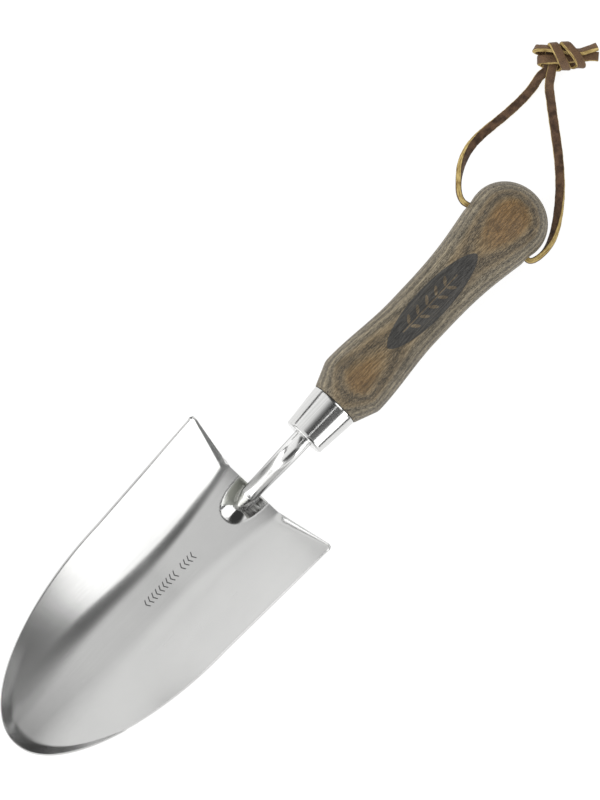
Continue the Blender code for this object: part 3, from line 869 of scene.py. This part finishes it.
def cross_hole_cutter(material):
    """A pin with a flared mouth at each end."""
    half = 1.4 * BUTT_SWELL_RADIUS
    mouth = BUTT_SWELL_RADIUS - 0.0009
    outline = [
        (0.0, half),
        (CROSS_HOLE_RADIUS + 6 * HOLE_RIM, half),
        (CROSS_HOLE_RADIUS + 2 * HOLE_RIM, mouth + 1.2 * HOLE_RIM),
        (CROSS_HOLE_RADIUS, mouth - HOLE_RIM),
    ]
    outline += [(r, -h) for r, h in reversed(outline)]
    cutter = turned("cross_hole_cutter", outline, 48, False, material)
    cutter.location = (0.0, 0.0, CROSS_HOLE)
    cutter.rotation_euler = (math.pi / 2, 0.0, 0.0)
    return cutter


def make_handle(material):
    handle = turned("handle_ash", handle_outline(), 128, False, material)
    cutter = cross_hole_cutter(material)
    hole = handle.modifiers.new("Cross hole", "BOOLEAN")
    hole.operation = "DIFFERENCE"
    hole.object = cutter
    bpy.context.view_layer.update()
    evaluated = handle.evaluated_get(bpy.context.evaluated_depsgraph_get())
    cut = bpy.data.meshes.new_from_object(evaluated)
    handle.modifiers.clear()
    handle.data = cut
    bpy.data.objects.remove(cutter)
    handle.data.shade_smooth()
    handle.data.set_sharp_from_angle(angle=math.radians(40))
    place_on_handle_axis(handle)
    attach(handle, "tool")
    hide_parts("handle")


def make_ferrule(material):
    back, front = -GAP, -FERRULE_LENGTH
    hole = NECK_RADIUS + GAP
    edge = FERRULE_EDGE
    outer_front = ferrule_radius(front)
    profile = [
        (ferrule_radius(back) - FERRULE_WALL, back),
        (ferrule_radius(back) - 0.00025, back),
        (ferrule_radius(back) - 0.00006, back - 0.00006),
    ]
    for i in range(25):
        z = mix(back - 0.00025, front + edge, i / 24)
        profile.append((ferrule_radius(z), z))
    for i in range(1, 9):
        a = math.pi / 2 * i / 8
        profile.append((outer_front - edge * (1 - math.cos(a)), front + edge * (1 - math.sin(a))))
    profile += [
        (mix(outer_front - edge, hole, 0.5), front - 0.0001),
        (hole + 0.0004, front),
        (hole, front + 0.0003),
        (hole, front + FERRULE_WALL),
        (ferrule_radius(front + FERRULE_WALL) - FERRULE_WALL, front + FERRULE_WALL),
    ]
    ferrule = turned("ferrule_cup", profile, 128, True, material)
    ferrule.data.set_sharp_from_angle(angle=math.radians(50))
    place_on_handle_axis(ferrule)
    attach(ferrule, "tool")
    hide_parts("ferrule")


# ---- Neck and weld -------------------------------------------------------------------------------


def sweep(name, centres, frames, sections, material, attributes=None):
    """A closed tube. frames holds (side, up) unit vectors, and sections the outline at each centre."""
    count = len(sections[0])
    verts, faces = [], []
    for centre, (side, up), section in zip(centres, frames, sections):
        for a, b in section:
            verts.append(centre + side * a + up * b)
    for i in range(len(centres) - 1):
        for k in range(count):
            n = (k + 1) % count
            a, b = i * count, (i + 1) * count
            faces.append((a + k, a + n, b + n, b + k))
    last = (len(centres) - 1) * count
    faces.append(tuple(reversed(range(count))))
    faces.append(tuple(last + k for k in range(count)))
    return mesh_object(name, verts, faces, material, attributes)


def neck_curve():
    """The rod's centres and radii, from its foot in the pocket to the end of its tang."""
    shoulder, direction = handle_axis()
    foot = Vector((TIP_X + FOOT_ALONG, 0.0, FOOT_HEIGHT))
    entry = shoulder - direction * (FERRULE_LENGTH + 0.001)
    first_arm = foot + Vector((NECK_REACH, 0.0, FOOT_ARM_RISE))
    last_arm = entry - direction * NECK_REACH
    steps = 110
    shares = [0.0, 0.001, 0.0025, 0.005] + [i / steps for i in range(1, steps + 1)]
    centres, radii = [], []
    for t in shares:
        centres.append(
            foot * (1 - t) ** 3
            + first_arm * 3 * t * (1 - t) ** 2
            + last_arm * 3 * t**2 * (1 - t)
            + entry * t**3
        )
        dome = math.sqrt(min(1.0, FOOT_BLUNTNESS + t / FOOT_DOME))
        radii.append(mix(FOOT_RADIUS, NECK_RADIUS, smooth(t)) * dome)
    tang = (
        (-FERRULE_LENGTH + 0.0015, NECK_RADIUS),
        (-FERRULE_LENGTH + 0.0019, TANG_RADIUS),
        (TANG_BORE_DEPTH - 0.008, TANG_RADIUS),
        (TANG_BORE_DEPTH - 0.001, TANG_END_RADIUS),
    )
    for z, radius in tang:
        centres.append(shoulder + direction * z)
        radii.append(radius)
    return [np.array(c) for c in centres], radii


def make_neck(material):
    centres, radii = neck_curve()
    sides = 64
    angles = [2 * math.pi * k / sides for k in range(sides)]
    side = np.array((0.0, 1.0, 0.0))
    frames, sections = [], []
    for i, radius in enumerate(radii):
        ahead = unit(centres[min(i + 1, len(centres) - 1)] - centres[max(i - 1, 0)])
        frames.append((side, np.cross(side, ahead)))
        sections.append([(radius * math.cos(-a), radius * math.sin(-a)) for a in angles])
    neck = sweep("neck_rod", centres, frames, sections, material)
    neck.data.set_sharp_from_angle(angle=math.radians(50))
    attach(neck, "tool")
    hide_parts("neck_and_tang")


def rod_top(x, y, rod):
    """The height of the rod's upper side over a point, or 0 beside it."""
    top = 0.0
    for centre, radius in rod:
        apart = (x - centre[0]) ** 2 + y**2
        if apart < radius**2:
            top = max(top, centre[2] + math.sqrt(radius**2 - apart))
    return top


def make_weld(material):
    """The fused skin where the rod's foot runs into the pocket: the higher of the two, rounded."""
    rod = [(c, r) for c, r in zip(*neck_curve()) if c[0] < TIP_X + WELD_ROD_END]
    rows, columns = 72, 70
    verts = []
    for i in range(rows + 1):
        along = mix(WELD_START, WELD_END, i / rows)
        for j in range(columns + 1):
            across = WELD_HALF_WIDTH * (2 * j / columns - 1)
            sheet = blade_height(along, across)
            top = rod_top(TIP_X + along, across, rod)
            reach = WELD_REACH * min(1.0, 0.35 + abs(across) / 0.004)
            nearness = max(0.0, reach - abs(sheet - top)) / reach
            skin = max(sheet, top) + WELD_FILLET * reach * nearness**2
            edge = min(along - WELD_START, WELD_END - along, WELD_HALF_WIDTH - abs(across))
            sink = WELD_SUNK + WELD_THICKNESS * (1 - smooth(edge / WELD_EDGE))
            verts.append((TIP_X + along, across, skin - sink))
    faces = [(a, d, c, b) for a, b, c, d in grid_faces(rows, columns)]
    weld = mesh_object("weld_skin", verts, faces, material)
    body = weld.modifiers.new("Body", "SOLIDIFY")
    body.thickness = WELD_THICKNESS
    body.offset = -1.0
    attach(weld, "tool")
    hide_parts("weld_bead")


# ---- Thong ---------------------------------------------------------------------------------------

KNOT_CENTRE = (0.2289, 0.0319)
# Each row: across the picture, up it and above the floor, in millimetres, then which way the lace's
# inner face looks.
LEFT_KNOT = (
    (-9.2, -5.8, 3.0, 0.0, 0.0, 1.0),
    (-8.6, -2.6, 3.5, 0.0, 0.0, 1.0),
    (-7.8, 1.0, 3.4, 0.0, -0.1, 1.0),
    (-7.0, 4.0, 3.9, 0.0, -0.5, 0.8),
    (-6.4, 5.8, 6.4, 0.1, -1.0, 0.0),
    (-5.6, 4.9, 9.4, -0.2, -0.5, -0.8),
    (-4.1, 2.1, 10.3, -0.3, 0.0, -0.95),
    (-2.5, -1.2, 10.0, -0.3, 0.2, -0.9),
    (-0.9, -3.9, 8.2, -0.1, 0.7, -0.7),
    (-0.3, -5.0, 5.2, 0.0, 1.0, 0.0),
    (-1.7, -4.4, 2.3, 0.2, 0.7, 0.7),
    (-5.0, -4.0, 1.2, 0.0, 0.1, 1.0),
    (-9.0, -3.0, 1.2, 0.0, 0.0, 1.0),
    (-11.6, -1.8, 2.2, 0.6, 0.0, 0.8),
    (-12.5, -1.2, 4.3, 1.0, 0.0, 0.0),
    (-10.9, -1.0, 6.1, 0.3, -0.2, -0.9),
    (-7.0, -1.0, 6.7, 0.0, -0.4, -0.9),
    (-2.0, -0.9, 6.8, 0.0, -0.4, -0.9),
    (3.0, -0.4, 6.2, 0.0, -0.3, -0.95),
    (8.0, 0.2, 4.8, 0.0, -0.2, -1.0),
    (12.0, 0.6, 3.9, 0.0, -0.1, -1.0),
    (14.6, 0.4, 3.6, 0.0, -0.1, -1.0),
)
RIGHT_KNOT = (
    (-6.8, -6.0, 5.2, 0.0, 0.0, 1.0),
    (-5.6, -2.4, 4.4, 0.0, 0.0, 1.0),
    (-3.6, 1.2, 3.6, 0.0, -0.1, 1.0),
    (-1.8, 4.3, 4.2, 0.0, -0.5, 0.8),
    (-1.1, 6.1, 6.6, 0.1, -1.0, 0.0),
    (-0.2, 5.6, 9.2, -0.35, -0.5, -0.75),
    (2.0, 3.2, 10.3, -0.62, -0.1, -0.78),
    (4.3, 0.4, 9.8, -0.68, 0.1, -0.72),
    (6.0, -2.3, 8.0, -0.5, 0.5, -0.65),
    (6.5, -3.9, 5.2, 0.0, 1.0, 0.0),
    (4.8, -3.6, 2.4, 0.3, 0.6, 0.7),
    (1.0, -2.2, 1.2, 0.0, 0.1, 1.0),
    (-4.0, 0.4, 1.2, 0.0, 0.0, 1.0),
    (-9.5, 2.4, 1.5, 0.2, 0.0, 1.0),
    (-12.9, 3.4, 2.9, 0.8, -0.2, 0.5),
    (-14.1, 3.9, 4.9, 0.8, -0.5, -0.1),
    (-12.6, 4.1, 6.4, 0.1, -0.85, -0.5),
    (-9.0, 4.0, 6.8, 0.0, -0.87, -0.5),
    (-4.0, 3.5, 6.8, 0.0, -0.87, -0.5),
    (1.0, 2.8, 6.6, 0.0, -0.87, -0.5),
    (6.0, 2.4, 6.4, 0.0, -0.87, -0.5),
    (10.2, 3.6, 5.9, -0.1, -0.87, -0.5),
    (14.0, 4.9, 5.6, -0.1, -0.8, -0.6),
)


def knot_to_world(rows):
    """Knot rows as world points and face directions."""
    right = np.array((math.cos(VIEW_TURN), -math.sin(VIEW_TURN), 0.0))
    up = np.array((math.sin(VIEW_TURN), math.cos(VIEW_TURN), 0.0))
    out = np.array((0.0, 0.0, 1.0))
    places, faces = [], []
    for u, v, w, fu, fv, fw in rows:
        places.append(np.array((*KNOT_CENTRE, 0.0)) + (right * u + up * v + out * w) / 1000)
        faces.append(unit(right * fu + up * fv + out * fw))
    return places, faces


def lace_outline(width, thickness):
    """A rounded oblong of 28 points, and for each how far it belongs to the lace's cut edges."""
    corner = 0.30 * thickness
    corners = []
    for quarter, (qx, qy) in enumerate(((1, 1), (-1, 1), (-1, -1), (1, -1))):
        for i in range(5):
            a = math.radians(90 * quarter + 22.5 * i)
            across = qx * (width / 2 - corner) + corner * math.cos(a)
            corners.append((across, qy * (thickness / 2 - corner) + corner * math.sin(a)))
    points = []
    for i, p in enumerate(corners):
        q = corners[(i + 1) % len(corners)]
        points.append(p)
        if i % 5 == 4:
            points.append(((2 * p[0] + q[0]) / 3, (2 * p[1] + q[1]) / 3))
            points.append(((p[0] + 2 * q[0]) / 3, (p[1] + 2 * q[1]) / 3))
    edges = []
    for a, b in points:
        sideways = smooth((abs(a) / (width / 2) - 0.80) / 0.20)
        edges.append(sideways * smooth((1.05 - abs(b) / (thickness / 2)) / 0.35))
    return points, edges


def leg_faces(places, count, start_side):
    """Which way the lace's inner face looks: upright by the hole, turning flat towards the knot."""
    twists = [math.pi / 2] * 7 + [1.45, 1.1, 0.8, 0.5, 0.25, 0.1]
    twists += [0.0] * (count - len(twists))
    faces = []
    for i in range(count):
        ahead = unit(places[i + 1] - places[max(i - 1, 0)])
        side = unit(np.cross((0.0, 0.0, 1.0), ahead))
        up = np.cross(ahead, side)
        faces.append(up * math.cos(twists[i]) - side * start_side * math.sin(twists[i]))
    return faces


def lace_rows(leg, knot_rows, pivot, start_side):
    """Rows of place, face direction and thickness, from the middle of the cross hole to the tail."""
    places = [np.array((pivot.x, start_side * y, pivot.z)) for y in INSIDE_HOLE]
    places += [np.array(p) for p in leg]
    knot_places, knot_faces = knot_to_world(knot_rows)
    count = len(places)
    places += knot_places
    faces = leg_faces(places, count, start_side) + knot_faces
    thin = [LACE_THICKNESS] * (count - 2) + [mix(LACE_THICKNESS, KNOT_THICKNESS, 0.4)] * 2
    thin += [KNOT_THICKNESS] * (len(knot_places) - len(TAIL_THICKNESS)) + TAIL_THICKNESS
    rows = [np.concatenate([p, f, [t]]) for p, f, t in zip(places, faces, thin)]
    return catmull(rows, 9)


def make_lace(name, leg, knot_rows, start_side, material):
    """One half of the lace. start_side is 1 where it leaves the cross hole towards +Y, else -1."""
    pivot = Vector(frame["joints"][0]["pos_m"])
    rows = lace_rows(leg, knot_rows, pivot, start_side)
    centres = [row[:3] for row in rows]
    frames, sections, edge, run, around = [], [], [], [], []
    walked = 0.0
    for i, row in enumerate(rows):
        ahead = unit(centres[min(i + 1, len(rows) - 1)] - centres[max(i - 1, 0)])
        face = unit(row[3:6] - ahead * np.dot(row[3:6], ahead))
        frames.append((np.cross(face, ahead), face))
        wobble = 1.0 + 0.02 * math.sin(walked * 900.0) + 0.015 * math.sin(walked * 2300.0 + 1.0)
        outline, edges = lace_outline(LACE_WIDTH * wobble, row[6])
        sections.append(outline)
        edge += edges
        run += [walked] * len(outline)
        around += [math.atan2(b, a) * 0.0012 for a, b in outline]
        if i + 1 < len(rows):
            walked += float(np.linalg.norm(centres[i + 1] - centres[i]))
    attributes = {"edge": edge, "run": run, "around": around}
    lace = sweep(name, centres, frames, sections, material, attributes)
    lace.data.set_sharp_from_angle(angle=math.radians(60))
    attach(lace, "thong_loop")
    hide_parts("thong", "thong_knot")


# ---- Assembly ------------------------------------------------------------------------------------

make_camera()
make_world()
make_floor()
make_ceiling()
make_cards()
make_key_light()
leather = laced_leather()
make_lace("thong_left", LEFT_LEG, LEFT_KNOT, 1.0, leather)
make_lace("thong_right", RIGHT_LEG, RIGHT_KNOT, -1.0, leather)
make_blade(satin_steel())
# The rod gets painted shade where it is seen edge on (0.8); the ferrule gets none (0.0).
make_neck(polished_steel("polished_rod", (0.80, 0.80, 0.79), (0.90, 0.90, 0.89), 0.13, 0.8))
make_weld(weld_steel())
make_ferrule(polished_steel("polished_ferrule", (0.66, 0.66, 0.65), (0.76, 0.76, 0.75), 0.11, 0.0))
make_handle(smoked_ash())
